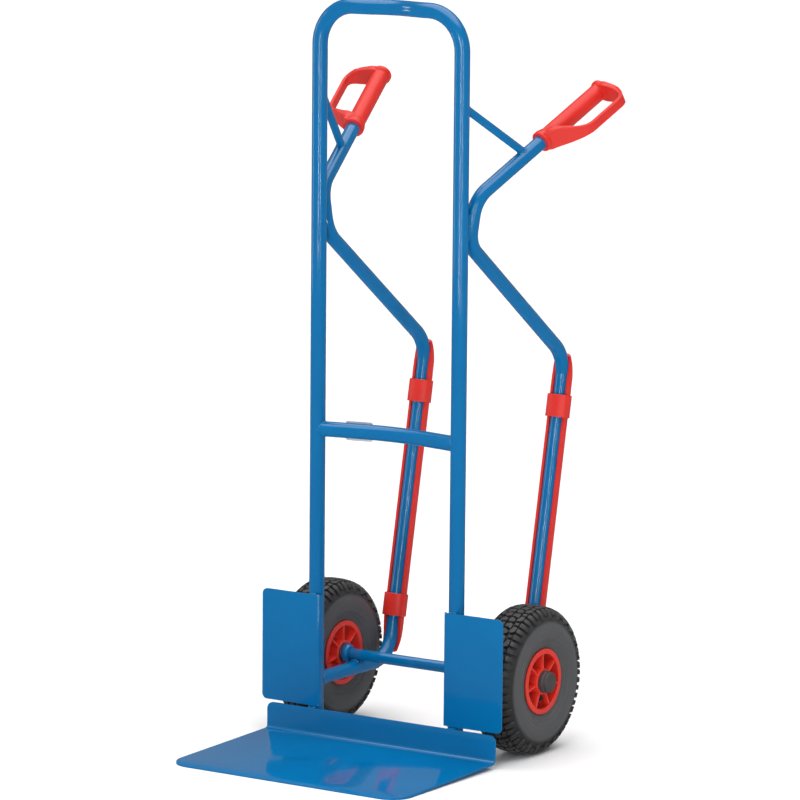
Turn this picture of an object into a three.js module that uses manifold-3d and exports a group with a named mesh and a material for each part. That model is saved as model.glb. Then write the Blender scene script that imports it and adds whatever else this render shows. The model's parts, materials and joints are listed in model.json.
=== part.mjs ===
// Two-wheeled hand truck for stairs: a bent steel tube frame with a toe plate, two air-filled
// wheels on a fixed axle, guarded hand grips and replaceable plastic stair skids.
// Millimetres, +Z up, +Y to the rear, +X to the right. The truck stands upright on z = 0, on its
// two tyres and on the front edge of the toe plate. The origin is the middle of its footprint. The
// pieces are drawn with x = 0 in the middle plane and y = 0 in the plane of the two uprights, and
// the last group moves them all forward by middleY.
import * as THREE from "three";
import { mergeVertices } from "three/addons/utils/BufferGeometryUtils.js";
import Module from "manifold-3d";

// ---- driving dimensions ----
const gap = 0.3; // left between pieces that touch
const middleY = 18.8; // middle of the truck's depth, behind the plane of the uprights
const frameHeight = 1304;
const uprightX = 146; // upright axis from the middle plane
const frameRadius = 13.5; // main tube, 27 mm
const frameWall = 2;
const cornerRadius = 68; // upper corners of the loop, on the tube axis
const topBow = 15; // how far the top bar bows to the rear
const crossBow = 30; // corner of the cross tube behind the uprights, before its bend rounds it off
const crossBend = 500;
const crossHeight = 552.5;
const uprightFoot = 12;
const plateWidth = 50; // rating plate
const plateHeight = 34;
const plateX = -78;

const sideRadius = 12.5; // side tube, 25 mm
const sideWall = 2;
const sideBend = 64;
const sideBendTight = 52;
const kneeHeight = 894;
const shoulderHeight = 972.3;
const strutRadius = 7;
const strutWall = 1.5;
// Where each strut's axis meets the upright's, and how far short of the grip it meets the arm.
const strutEnds = {
  right: { height: 1133, beforeGrip: 37.5 },
  left: { height: 1147, beforeGrip: 61 },
};

const wheelRadius = 130;
const wheelWidth = 85;
const wheelX = 209;
const axleY = 127;
const axleZ = wheelRadius;
const axleRadius = 10;
const axleEnd = 253;

const toeWidth = 477;
const toeThickness = 4;
const toeFront = -313.6;
const toeHeelLift = 8.4;
const toeFlangeTop = 58.4;
const toeCornerRadius = 38;
const flangeCornerRadius = 12;
const toeHeelBend = 8;
const toeTip = 2.5; // thickness at the front edge, ground thin over toeTaper
const toeTaper = 12;

const guardOuterX = 250.5;
const guardBottom = 63;
const guardTop = 261;
const guardThickness = 2.5;
const guardFoldDepth = 10;
const guardFoldSlope = 6; // chamfer at each end of the fold
const guardFoldRadius = 5; // outside of the bend between the plate and its fold
const guardCorner = 10;

// Sections of the skid, open to the front, and of its clip, open to the rear.
const skidSection = { half: 18, wall: 4.7, lip: 6.3, shoulder: 0, depth: 18, steps: 7 };
const clipSection = { half: 20.9, wall: 2.6, lip: 6, shoulder: 7, depth: 11, steps: 8 };
const clipHeight = 40;
const clipHeights = [579, 201]; // middle of the upper and the lower clip

const gripLength = 170;
const gripRadius = 15.7;
const gripCollarRadius = 19;
const gripEndRadius = 18.5;
const knuckleReach = 66.5; // grip axis to the outside of the knuckle guard
const knuckleBand = 6; // thickness of the guard's band

// ---- materials ----
const paint = { color: 0x1a6fb4, roughness: 0.25, metalness: 0.0 };
const redPlastic = { color: 0xe5352f, roughness: 0.45, metalness: 0.0 };
const blackRubber = { color: 0x2b2b2c, roughness: 0.8, metalness: 0.0 };
const blackPlastic = { color: 0x303234, roughness: 0.5, metalness: 0.0 };
const bareSteel = { color: 0xb4b7ba, roughness: 0.35, metalness: 1.0 };
const brassMetal = { color: 0xb89a55, roughness: 0.35, metalness: 1.0 };
const labelSheet = { color: 0xc9ccce, roughness: 0.5, metalness: 0.0 };

const wasm = await Module();
wasm.setup();

// A closed geometry as a manifold-3d solid, ready for a cut or a join.
function solidOf(geometry) {
  const bare = geometry.clone();
  bare.deleteAttribute("normal");
  bare.deleteAttribute("uv");
  const merged = mergeVertices(bare, 1e-4);
  return new wasm.Manifold(
    new wasm.Mesh({
      numProp: 3,
      vertProperties: new Float32Array(merged.getAttribute("position").array),
      triVerts: new Uint32Array(merged.index.array),
    }),
  );
}

function geometryOf(solid) {
  const mesh = solid.getMesh();
  const geometry = new THREE.BufferGeometry();
  geometry.setAttribute("position", new THREE.BufferAttribute(mesh.vertProperties, 3));
  geometry.setIndex(new THREE.BufferAttribute(mesh.triVerts, 1));
  return geometry;
}

function piece(name, shape, finish) {
  const geometry = shape.isBufferGeometry ? shape : geometryOf(shape);
  const mesh = new THREE.Mesh(geometry, new THREE.MeshStandardMaterial(finish));
  mesh.name = name;
  return mesh;
}

// ---- shapes that repeat ----

// A path through given points whose tangent at a corner halves the angle.
class BentPath extends THREE.Curve {
  constructor(points) {
    super();
    this.points = points;
  }
  getUtoTmapping(u) {
    return u;
  }
  getPoint(t) {
    const last = this.points.length - 1;
    const place = Math.min(Math.max(t, 0), 1) * last;
    const i = Math.min(Math.floor(place + 1e-9), last - 1);
    return this.points[i].clone().lerp(this.points[i + 1], place - i);
  }
  getTangent(t) {
    const last = this.points.length - 1;
    const i = Math.round(t * last);
    const ahead = Math.min(i + 1, last);
    const behind = Math.max(i - 1, 0);
    const forward = this.points[ahead].clone().sub(this.points[i]).normalize();
    const back = this.points[i].clone().sub(this.points[behind]).normalize();
    return forward.add(back).normalize();
  }
}

// Straight runs between corner points, each inner corner bent to its own radius.
function bentPoints(corners, radii, stepsPerBend) {
  const points = [corners[0].clone()];
  for (let i = 1; i < corners.length - 1; i++) {
    const corner = corners[i];
    const toBack = corners[i - 1].clone().sub(corner).normalize();
    const toFront = corners[i + 1].clone().sub(corner).normalize();
    const half = toBack.angleTo(toFront) / 2;
    const radius = radii[i - 1];
    const middle = toBack.clone().add(toFront).normalize();
    const centre = corner.clone().addScaledVector(middle, radius / Math.sin(half));
    const start = corner.clone().addScaledVector(toBack, radius / Math.tan(half)).sub(centre);
    const turn = Math.PI - 2 * half;
    const axis = toFront.clone().cross(toBack).normalize();
    for (let k = 0; k <= stepsPerBend; k++) {
      const spoke = start.clone().applyAxisAngle(axis, (turn * k) / stepsPerBend);
      points.push(spoke.add(centre));
    }
  }
  points.push(corners[corners.length - 1].clone());
  return points;
}

function ringShape(outer, inner) {
  const shape = new THREE.Shape();
  shape.absarc(0, 0, outer, 0, 2 * Math.PI, false);
  if (inner > 0) {
    const bore = new THREE.Path();
    bore.absarc(0, 0, inner, 0, 2 * Math.PI, true);
    shape.holes.push(bore);
  }
  return shape;
}

function sweep(shape, points, sides) {
  return new THREE.ExtrudeGeometry(shape, {
    extrudePath: new BentPath(points),
    steps: points.length - 1,
    curveSegments: sides,
  });
}

function tube(outer, wall, points, sides) {
  return sweep(ringShape(outer, outer - wall), points, sides);
}

// A plain bar from one point to another, used as a piece or as a cutter.
function bar(radius, from, to, sides) {
  const length = from.distanceTo(to);
  const geometry = new THREE.CylinderGeometry(radius, radius, length, sides);
  const turn = new THREE.Quaternion().setFromUnitVectors(
    new THREE.Vector3(0, 1, 0),
    to.clone().sub(from).normalize(),
  );
  geometry.applyQuaternion(turn);
  const middle = from.clone().lerp(to, 0.5);
  geometry.translate(middle.x, middle.y, middle.z);
  return geometry;
}

// A profile of [radius, distance along X] pairs, turned about the X axis.
function turned(profile, sides) {
  const points = profile.map(([radius, along]) => new THREE.Vector2(radius, along));
  const geometry = new THREE.LatheGeometry([...points, points[0].clone()], sides);
  geometry.rotateZ(-Math.PI / 2);
  return geometry;
}

function ring(inner, outer, from, to, sides) {
  return turned([[inner, from], [outer, from], [outer, to], [inner, to]], sides);
}

function vec(x, y, z) {
  return new THREE.Vector3(x, y, z);
}

function extruded(shape, depth, curveSegments) {
  return new THREE.ExtrudeGeometry(shape, { depth, bevelEnabled: false, curveSegments });
}

// A side view, drawn with x for Y and y for Z, extruded from x = 0 to the right.
function alongX(shape, width, curveSegments) {
  const geometry = extruded(shape, width, curveSegments);
  geometry.rotateX(Math.PI / 2);
  geometry.rotateZ(Math.PI / 2);
  return geometry;
}

// ---- main frame ----

// The top bar's bow to the rear, which starts and ends without a kink.
function bowedRow(halfSpan, height, depth, steps) {
  const row = [];
  for (let i = 1; i < steps; i++) {
    const x = -halfSpan + (2 * halfSpan * i) / steps;
    row.push(vec(x, depth * Math.cos((Math.PI * x) / (2 * halfSpan)) ** 2, height));
  }
  return row;
}

function mainFrame() {
  const top = frameHeight - frameRadius;
  const stepsPerBend = 7;
  const corners = [
    vec(-uprightX, 0, uprightFoot),
    vec(-uprightX, 0, top),
    vec(uprightX, 0, top),
    vec(uprightX, 0, uprightFoot),
  ];
  const loop = bentPoints(corners, [cornerRadius, cornerRadius], stepsPerBend);
  const half = loop.length / 2;
  const bowed = bowedRow(uprightX - cornerRadius, top, topBow, 8);
  return tube(frameRadius, frameWall, [...loop.slice(0, half), ...bowed, ...loop.slice(half)], 7);
}

function uprightCutter(x) {
  const top = frameHeight - frameRadius - cornerRadius;
  return solidOf(bar(frameRadius + gap, vec(x, 0, 0), vec(x, 0, top), 24));
}

function crossTube() {
  const ends = [-uprightX, uprightX].map((x) => vec(x, 0, crossHeight));
  const row = bentPoints([ends[0], vec(0, crossBow, crossHeight), ends[1]], [crossBend], 6);
  const whole = solidOf(tube(frameRadius, frameWall, row, 7));
  return whole.subtract(uprightCutter(-uprightX)).subtract(uprightCutter(uprightX));
}

// ---- blank rating plate, stuck to the rear of the cross tube ----
function ratingPlate() {
  const slope = crossBow / uprightX;
  const thickness = 1;
  const plate = new THREE.BoxGeometry(plateWidth, thickness, plateHeight);
  plate.rotateZ(Math.atan(slope));
  const offset = frameRadius + gap + thickness / 2;
  const rear = (uprightX + plateX) * slope + offset * Math.hypot(1, slope);
  plate.translate(plateX, rear, crossHeight - 2.5);
  return plate;
}

// ---- side tube: grip arm, short run on the upright, diagonal, skid run, foot run ----
const skidLean = Math.atan(0.1978); // the skid run leans back from the vertical
const sideZ = axleZ - axleRadius - sideRadius - gap;
const contactY = frameRadius + sideRadius + gap;
const lowY = 230.3;
const highY = 340.5;
const lowCorner = vec(uprightX, lowY, sideZ);
const highCorner = vec(uprightX, highY, sideZ + (highY - lowY) / Math.tan(skidLean));
const knee = vec(uprightX + 0.5, contactY, kneeHeight);
const shoulder = vec(158.6, contactY + 0.4, shoulderHeight);
const armDirection = vec(0.2077, 0.8404, 0.5006).normalize();
const collarPlace = 175; // along the arm from its shoulder corner
const armLine = (distance) => shoulder.clone().addScaledVector(armDirection, distance);

function sidePoints() {
  const corners = [
    vec(uprightX, 2, sideZ),
    lowCorner,
    highCorner,
    knee,
    shoulder,
    armLine(collarPlace + gripLength - 12),
  ];
  return bentPoints(corners, [sideBend, sideBend, sideBendTight, sideBendTight], 5);
}

function sideTube() {
  return solidOf(tube(sideRadius, sideWall, sidePoints(), 6)).subtract(uprightCutter(uprightX));
}

function gripStrut(hand) {
  const { height, beforeGrip } = strutEnds[hand];
  const onArm = armLine(collarPlace - beforeGrip);
  const onUpright = vec(uprightX, 0, height);
  const rod = solidOf(tube(strutRadius, strutWall, [onUpright, onArm], 6));
  const armCutter = solidOf(bar(sideRadius + gap, armLine(60), armLine(collarPlace + 60), 24));
  return rod.subtract(uprightCutter(uprightX)).subtract(armCutter);
}

// ---- hand grip: sleeve with a flared collar, closed end and a D-shaped knuckle guard ----

// The grip's own frame: s along the arm from the collar, p outwards, q across the guard and down.
const gripS = armDirection;
const gripP = vec(gripS.y, -gripS.x, 0).normalize();
const gripQ = vec().crossVectors(gripS, gripP);
const gripFrame = new THREE.Matrix4().makeBasis(gripS, gripP, gripQ);
gripFrame.setPosition(armLine(collarPlace));

// The D of the guard, seen square to s and p.
function knuckleOutline() {
  const shape = new THREE.Shape();
  const end = gripLength - 1;
  shape.moveTo(2, 0);
  shape.lineTo(4, 14);
  shape.bezierCurveTo(22, 26, 42, knuckleReach - 4, 68, knuckleReach);
  shape.lineTo(end - 28, knuckleReach);
  shape.quadraticCurveTo(end - 8, knuckleReach, end - 3, knuckleReach - 21);
  shape.lineTo(end, 0);
  return shape;
}

function knuckleOpening() {
  const inside = knuckleReach - knuckleBand;
  const end = gripLength - 14;
  const shape = new THREE.Shape();
  shape.moveTo(27, -1);
  shape.lineTo(29, 14);
  shape.bezierCurveTo(34, 34, 46, inside, 76, inside);
  shape.lineTo(end - 14, inside);
  shape.quadraticCurveTo(end, inside, end, inside - 14);
  shape.lineTo(end, -1);
  return shape;
}

// The guard seen along s: as wide as the sleeve at the sleeve, and a narrow band at its outside.
function knuckleSection() {
  const shape = new THREE.Shape();
  const reach = knuckleReach + 1;
  shape.moveTo(0, -15);
  shape.lineTo(16, -17.5);
  shape.quadraticCurveTo(44, -13, reach, 0.5);
  shape.lineTo(reach, 14.5);
  shape.lineTo(16, 17.5);
  shape.lineTo(0, 15);
  return shape;
}

function handGrip() {
  const width = 2 * gripCollarRadius + 2;
  const block = extruded(knuckleOutline(), width, 5);
  const opening = extruded(knuckleOpening(), width + 2, 5);
  block.translate(0, 0, -width / 2);
  opening.translate(0, 0, -width / 2 - 1);
  const section = extruded(knuckleSection(), gripLength, 4);
  section.applyMatrix4(new THREE.Matrix4().makeBasis(vec(0, 1, 0), vec(0, 0, 1), vec(1, 0, 0)));
  const guard = solidOf(block).intersect(solidOf(section)).subtract(solidOf(opening));
  const end = gripLength;
  const low = [[0, 0], [gripCollarRadius, 0], [gripCollarRadius, 9], [gripRadius, 20]];
  const high = [[gripRadius, end - 12], [gripEndRadius, end - 9], [gripEndRadius, end - 3], [15, end]];
  const sleeve = turned([...low, ...high, [0, end]], 20);
  const bore = bar(sideRadius + gap, vec(-1, 0, 0), vec(end - 11, 0, 0), 24);
  const whole = guard.add(solidOf(sleeve)).subtract(solidOf(bore));
  return geometryOf(whole).applyMatrix4(gripFrame);
}

// ---- stair skid and its clips, on the skid run of the side tube ----

// A U section seen along the tube, x across and y to the open side. Its walls run from y = lip to
// y = -shoulder, and a half ellipse of the given depth closes them.
function channelShape({ half, wall, lip, shoulder, depth, steps }) {
  const shape = new THREE.Shape();
  const inner = half - wall;
  shape.moveTo(-half, lip);
  shape.lineTo(-inner, lip);
  for (let i = 0; i <= steps; i++) {
    const a = Math.PI + (Math.PI * i) / steps;
    shape.lineTo(inner * Math.cos(a), (depth - wall) * Math.sin(a) - shoulder);
  }
  shape.lineTo(inner, lip);
  shape.lineTo(half, lip);
  for (let i = 0; i <= steps; i++) {
    const a = (-Math.PI * i) / steps;
    shape.lineTo(half * Math.cos(a), depth * Math.sin(a) - shoulder);
  }
  return shape;
}

// Sections set square to the path, with their x along X. On a path that climbs, their y points
// to the front of the truck; on one that goes down, to the rear.
function channelSweep(shape, points) {
  const outline = shape.getPoints(1);
  if (THREE.ShapeUtils.isClockWise(outline)) outline.reverse();
  const count = outline.length;
  const flat = THREE.ShapeUtils.triangulateShape(outline, []);
  const places = [];
  const path = new BentPath(points);
  points.forEach((point, i) => {
    const along = path.getTangent(i / (points.length - 1));
    const forward = vec(1, 0, 0).cross(along);
    outline.forEach((corner) => {
      const place = point.clone().addScaledVector(forward, corner.y);
      places.push(place.x + corner.x, place.y, place.z);
    });
  });
  const faces = [];
  const lastRow = (points.length - 1) * count;
  flat.forEach(([a, b, c]) => {
    faces.push(a, b, c);
    faces.push(lastRow + a, lastRow + c, lastRow + b);
  });
  for (let row = 0; row < points.length - 1; row++) {
    for (let i = 0; i < count; i++) {
      const a = row * count + i;
      const b = row * count + ((i + 1) % count);
      faces.push(a, a + count, b + count, a, b + count, b);
    }
  }
  const geometry = new THREE.BufferGeometry();
  geometry.setAttribute("position", new THREE.Float32BufferAttribute(places, 3));
  geometry.setIndex(faces);
  return geometry;
}

// The skid follows the tube axis from a little way round the lower bend to the upper one.
function skidPoints() {
  const bends = sidePoints();
  return bends.slice(4, 11);
}

function skid() {
  return channelSweep(channelShape(skidSection), skidPoints());
}

function skidAxis(height) {
  return vec(uprightX, lowCorner.y + (height - sideZ) * Math.tan(skidLean), height);
}

function clip(height) {
  const along = vec(0, Math.sin(skidLean), Math.cos(skidLean));
  const middle = skidAxis(height);
  const ends = [0.5, -0.5].map((k) => middle.clone().addScaledVector(along, k * clipHeight));
  return channelSweep(channelShape(clipSection), ends);
}

// ---- wheel guard: a flat plate on the front of the upright, folded back along its inner edge ----
function guardSection() {
  const foldX = uprightX - frameRadius - gap - guardThickness;
  const back = -frameRadius - gap;
  const front = back - guardThickness;
  const rear = back + guardFoldDepth;
  const bend = guardFoldRadius;
  const inner = bend - guardThickness;
  const section = new THREE.Shape();
  section.moveTo(guardOuterX, front);
  section.lineTo(guardOuterX, back);
  section.lineTo(foldX + bend, back);
  section.absarc(foldX + bend, front + bend, inner, -Math.PI / 2, -Math.PI, true);
  section.lineTo(foldX + guardThickness, rear);
  section.lineTo(foldX, rear);
  section.lineTo(foldX, front + bend);
  section.absarc(foldX + bend, front + bend, bend, Math.PI, 1.5 * Math.PI, false);
  return section;
}

// The plate seen from the front, its outer corners round.
function guardFront() {
  const cornerX = guardOuterX - guardCorner;
  const face = new THREE.Shape();
  face.moveTo(0, guardBottom);
  face.lineTo(cornerX, guardBottom);
  face.absarc(cornerX, guardBottom + guardCorner, guardCorner, -Math.PI / 2, 0, false);
  face.absarc(cornerX, guardTop - guardCorner, guardCorner, 0, Math.PI / 2, false);
  face.lineTo(0, guardTop);
  return face;
}

// The plate seen from the side, its fold chamfered at both ends.
function guardSide() {
  const rear = guardFoldDepth - frameRadius - gap;
  const front = -3 * frameRadius;
  const side = new THREE.Shape();
  side.moveTo(front, guardBottom);
  side.lineTo(rear - guardFoldSlope, guardBottom);
  side.lineTo(rear, guardBottom + guardFoldSlope);
  side.lineTo(rear, guardTop - guardFoldSlope);
  side.lineTo(rear - guardFoldSlope, guardTop);
  side.lineTo(front, guardTop);
  return side;
}

function wheelGuard() {
  const sheet = solidOf(extruded(guardSection(), guardTop + 1, 4));
  const face = extruded(guardFront(), 4 * frameRadius, 5);
  face.rotateX(Math.PI / 2);
  face.translate(0, 2 * frameRadius, 0);
  const side = alongX(guardSide(), guardOuterX + 1, 1);
  return sheet.intersect(solidOf(face)).intersect(solidOf(side));
}

// ---- toe plate: one sheet, flange upright and blade running down to its front edge ----
function toeSection() {
  const heelY = -frameRadius - gap;
  const frontY = heelY - toeThickness;
  const slope = toeHeelLift / (heelY - toeFront);
  const under = (y) => toeHeelLift + (y - heelY) * slope;
  const bend = toeHeelBend;
  const section = new THREE.Shape();
  section.moveTo(heelY, toeFlangeTop);
  section.lineTo(heelY, toeHeelLift + bend);
  section.quadraticCurveTo(heelY, toeHeelLift, heelY - bend, under(heelY - bend));
  section.lineTo(toeFront, 0);
  section.lineTo(toeFront, toeTip);
  section.lineTo(toeFront + toeTaper, under(toeFront + toeTaper) + toeThickness);
  section.lineTo(frontY - bend, under(frontY - bend) + toeThickness);
  const inner = under(frontY) + toeThickness;
  section.quadraticCurveTo(frontY, inner, frontY, inner + bend);
  section.lineTo(frontY, toeFlangeTop);
  return section;
}

// A board with its two lowest corners rounded, seen with the round corners down. It is wider than
// the plate above them, so that it cuts only the corners.
function cornerCutter(bottom, top, radius, depth) {
  const half = toeWidth / 2;
  const centreX = half - radius;
  const centreY = bottom + radius;
  const board = new THREE.Shape();
  board.moveTo(-half - 1, top);
  board.lineTo(-half - 1, centreY);
  board.lineTo(-half, centreY);
  board.absarc(-centreX, centreY, radius, Math.PI, 1.5 * Math.PI, false);
  board.absarc(centreX, centreY, radius, -Math.PI / 2, 0, false);
  board.lineTo(half + 1, centreY);
  board.lineTo(half + 1, top);
  return extruded(board, depth, 8);
}

function toePlate() {
  const sheet = alongX(toeSection(), toeWidth, 4);
  sheet.translate(-toeWidth / 2, 0, 0);
  const plan = cornerCutter(toeFront, 0, toeCornerRadius, 3 * toeFlangeTop);
  plan.translate(0, 0, -toeFlangeTop);
  const front = cornerCutter(-toeFlangeTop, toeFlangeTop, flangeCornerRadius, -2 * toeFront);
  front.rotateX(-Math.PI / 2);
  front.translate(0, toeFront, 0);
  return solidOf(sheet).intersect(solidOf(plan)).intersect(solidOf(front));
}

// ---- wheel, about its own centre with X along the axle and +X to the outside ----
const tyreSides = 36;
const beadRadius = 54.2;
const beadWidth = 31.6;
const tubeRadius = 88; // of the inner tube's round centre line
const tubeWall = 2;
const rimFace = 36; // outer face of a rim half from the wheel's middle
const rimRadius = 57.5;
const barrelRadius = 53.7;
const hubRadius = 22.5;
const spokes = 7;
const sleeveRadius = 18;
const stemRadius = 2.6;
const stemHead = 31; // distance of the valve's cap from the axle
const stemReach = 29; // how far its cap stands out of the wheel's middle plane

const mirrored = (row) => row.map(([radius, along]) => [radius, -along]).reverse();

function tyre() {
  const half = wheelWidth / 2;
  const bead = [[58.1, 32.4], [58.6, 34.5]];
  const wall = [[68, 39.5], [90, half], [112, half - 2.5], [123, 33], [128.5, 18]];
  const right = [[beadRadius, beadWidth], ...bead, ...wall];
  const outer = [...right, [wheelRadius, 0], ...mirrored(right)];
  const inside = [[beadRadius, 24], [63, 32.5], [tubeRadius, 36.5], [110, 33.5], [120, 20]];
  const inner = [...inside, [123.5, 0], ...mirrored(inside)].reverse();
  return turned([...outer, ...inner].reverse(), tyreSides);
}

function torus(across, height) {
  const profile = [];
  const arc = 10;
  for (let i = 0; i < arc; i++) {
    const a = (2 * Math.PI * i) / arc;
    profile.push([tubeRadius + height * Math.cos(a), across * Math.sin(a)]);
  }
  return turned(profile, 22);
}

function innerTube() {
  const across = 31;
  const height = 30;
  const skin = solidOf(torus(across, height));
  const air = solidOf(torus(across - tubeWall, height - tubeWall));
  const lowest = tubeRadius - height;
  const stemHole = solidOf(bar(stemRadius + gap, vec(0, 0, 15 - lowest), vec(0, 0, -lowest - 15), 12));
  return skin.subtract(air).subtract(stemHole);
}

function rimHalf() {
  const inside = gap / 2;
  const lip = [[rimRadius, rimFace - 2.6], [rimRadius, rimFace - 1], [rimRadius - 1.5, rimFace]];
  const back = [[47, rimFace], [46, rimFace - 1]];
  const barrel = [[48.5, inside], [barrelRadius, inside], [barrelRadius, 32.5], ...lip, ...back];
  const hub = ring(sleeveRadius + gap, hubRadius, inside, rimFace + 0.5, 20);
  let half = solidOf(turned(barrel, 24)).add(solidOf(hub));
  for (let i = 0; i < spokes; i++) {
    const spoke = new THREE.BoxGeometry(15, 3, 28);
    spoke.translate(26, 0, 35);
    spoke.rotateX((-2 * Math.PI * i) / spokes);
    half = half.add(solidOf(spoke));
  }
  const slot = bar(4.5, vec(0, 0, 8 - barrelRadius), vec(0, 0, -barrelRadius - 8), 12);
  return half.subtract(solidOf(slot));
}

// The valve stands in the tube's hole, passes between the rim halves and bends to the outside,
// so that its cap can be reached between two spokes.
function valve() {
  const bend = vec(0, 0, -stemHead - 13.5);
  const cap = vec(stemReach, 0, -stemHead);
  const root = bar(stemRadius, bend, vec(0, 0, -stemHead - 30), 10);
  const knuckle = new THREE.SphereGeometry(stemRadius, 10, 8).translate(0, 0, bend.z);
  return solidOf(root).add(solidOf(knuckle)).add(solidOf(bar(stemRadius, bend, cap, 10)));
}

function wheelPieces(hand) {
  const outerRim = rimHalf();
  const sleeve = ring(sleeveRadius - 2, sleeveRadius, -rimFace, rimFace, 20);
  const bearingBore = axleRadius + gap;
  const bearingRadius = sleeveRadius - 2 - gap;
  const bearingIn = 22;
  const bearingOut = rimFace - 0.5;
  const outerBearing = ring(bearingBore, bearingRadius, bearingIn, bearingOut, 20);
  const innerBearing = ring(bearingBore, bearingRadius, -bearingOut, -bearingIn, 20);
  const group = new THREE.Group();
  group.add(
    piece("tyre_" + hand, tyre(), blackRubber),
    piece("inner_tube_" + hand, innerTube(), blackRubber),
    piece("valve_" + hand, valve(), brassMetal),
    piece("rim_outer_" + hand, outerRim, redPlastic),
    piece("rim_inner_" + hand, outerRim.mirror([1, 0, 0]), redPlastic),
    piece("hub_sleeve_" + hand, sleeve, bareSteel),
    piece("bearing_outer_" + hand, outerBearing, bareSteel),
    piece("bearing_inner_" + hand, innerBearing, bareSteel),
  );
  group.position.set(wheelX, axleY, axleZ);
  return group;
}

// ---- axle fittings that hold a wheel on, on the same centre as the wheel ----
const washerRadius = 17;
const washerFace = 36.8; // side of a washer that the hub runs against
const washerThickness = 2;
const ringThickness = 1.5;
const capRadius = 19.6;
const capEnd = 51;

function hubCap() {
  const skirt = washerFace + gap - 0.1;
  const outside = [[18, skirt], [capRadius, skirt], [capRadius, 43], [18, 46], [17.6, 49.5]];
  const inside = [[0, 44.5], [axleRadius + gap, 44.5], [axleRadius + gap, 42], [18, 42]];
  return turned([...outside, [16, capEnd], [0, capEnd], ...inside], 20);
}

function axleCollar() {
  const bore = axleRadius + gap;
  const inner = uprightX + sideRadius + 2 * gap - wheelX;
  const outer = -washerFace - washerThickness - gap;
  const outside = [[14, inner], [16.5, inner + 2.5], [16.5, outer]];
  return turned([[bore, inner], ...outside, [bore, outer]], 20);
}

function axleFittings(hand) {
  const bore = axleRadius + gap;
  const washerEnd = washerFace + washerThickness;
  const ringStart = washerEnd + gap;
  const innerWasher = ring(bore, washerRadius, -washerEnd, -washerFace, 20);
  const outerWasher = ring(bore, washerRadius, washerFace, washerEnd, 20);
  const retainer = ring(bore, 14, ringStart, ringStart + ringThickness, 20);
  const group = new THREE.Group();
  group.add(
    piece("inner_washer_" + hand, innerWasher, bareSteel),
    piece("outer_washer_" + hand, outerWasher, bareSteel),
    piece("retaining_ring_" + hand, retainer, bareSteel),
    piece("hub_cap_" + hand, hubCap(), blackPlastic),
    piece("axle_collar_" + hand, axleCollar(), paint),
  );
  group.position.set(wheelX, axleY, axleZ);
  return group;
}

// ---- everything that comes as a left and right pair ----
function sidePieces(hand) {
  const group = new THREE.Group();
  group.add(
    piece("side_tube_" + hand, sideTube(), paint),
    piece("grip_strut_" + hand, gripStrut(hand), paint),
    piece("hand_grip_" + hand, handGrip(), redPlastic),
    piece("skid_" + hand, skid(), redPlastic),
    piece("skid_clip_upper_" + hand, clip(clipHeights[0]), redPlastic),
    piece("skid_clip_lower_" + hand, clip(clipHeights[1]), redPlastic),
    piece("wheel_guard_" + hand, wheelGuard(), paint),
    wheelPieces(hand),
    axleFittings(hand),
  );
  return group;
}

const axle = bar(axleRadius, vec(-axleEnd, axleY, axleZ), vec(axleEnd, axleY, axleZ), 20);
const leftSide = sidePieces("left");
leftSide.scale.x = -1;
const truck = new THREE.Group();
truck.add(
  piece("main_frame", mainFrame(), paint),
  piece("cross_tube", crossTube(), paint),
  piece("toe_plate", toePlate(), paint),
  piece("axle", axle, paint),
  piece("rating_plate", ratingPlate(), labelSheet),
  sidePieces("right"),
  leftSide,
);
truck.position.y = -middleY;

const group = new THREE.Group();
group.add(truck);

export default group;
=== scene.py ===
import json
import math
import random

import bmesh
import bpy
from mathutils import Matrix, Vector


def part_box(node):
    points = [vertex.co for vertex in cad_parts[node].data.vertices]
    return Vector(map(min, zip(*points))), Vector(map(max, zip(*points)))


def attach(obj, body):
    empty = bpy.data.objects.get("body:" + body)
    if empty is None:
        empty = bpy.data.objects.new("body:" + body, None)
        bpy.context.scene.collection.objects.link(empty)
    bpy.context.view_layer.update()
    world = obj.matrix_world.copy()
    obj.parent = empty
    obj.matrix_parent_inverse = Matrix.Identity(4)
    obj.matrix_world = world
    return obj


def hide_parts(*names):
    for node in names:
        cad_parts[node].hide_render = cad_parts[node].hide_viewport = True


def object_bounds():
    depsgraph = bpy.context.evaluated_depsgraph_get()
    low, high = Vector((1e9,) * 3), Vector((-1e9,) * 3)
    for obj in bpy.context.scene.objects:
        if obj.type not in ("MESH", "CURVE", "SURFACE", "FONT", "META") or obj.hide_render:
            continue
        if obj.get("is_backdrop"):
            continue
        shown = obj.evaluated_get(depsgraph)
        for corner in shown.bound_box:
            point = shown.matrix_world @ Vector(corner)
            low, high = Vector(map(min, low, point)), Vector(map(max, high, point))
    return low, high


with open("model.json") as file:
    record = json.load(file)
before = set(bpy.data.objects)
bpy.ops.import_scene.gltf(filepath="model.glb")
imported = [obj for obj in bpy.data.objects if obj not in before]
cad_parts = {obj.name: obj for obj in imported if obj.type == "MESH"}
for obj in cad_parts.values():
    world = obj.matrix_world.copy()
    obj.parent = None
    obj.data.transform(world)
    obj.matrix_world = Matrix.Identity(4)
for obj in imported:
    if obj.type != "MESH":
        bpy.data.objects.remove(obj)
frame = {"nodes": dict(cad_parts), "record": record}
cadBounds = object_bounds()
print("frame loaded:", len(frame["nodes"]), "nodes")

hands = {"right": 1, "left": -1}
mm = 0.001  # everything below is worked out in millimetres and scaled once
dice = random.Random(7)

# the tubes and the axle, which several pieces are placed by
tubes = {
    "uprightX": 146,
    "mainRadius": 13.5,
    "sideRadius": 12.5,
    "strutRadius": 7,
    "strutWall": 1.5,
    "wall": 2,
    "sides": 44,
    "axleY": 127,
    "axleZ": 130,
    "axleRadius": 10,
}
gap = 0.3  # air between pieces that are welded together, as in the CAD
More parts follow.
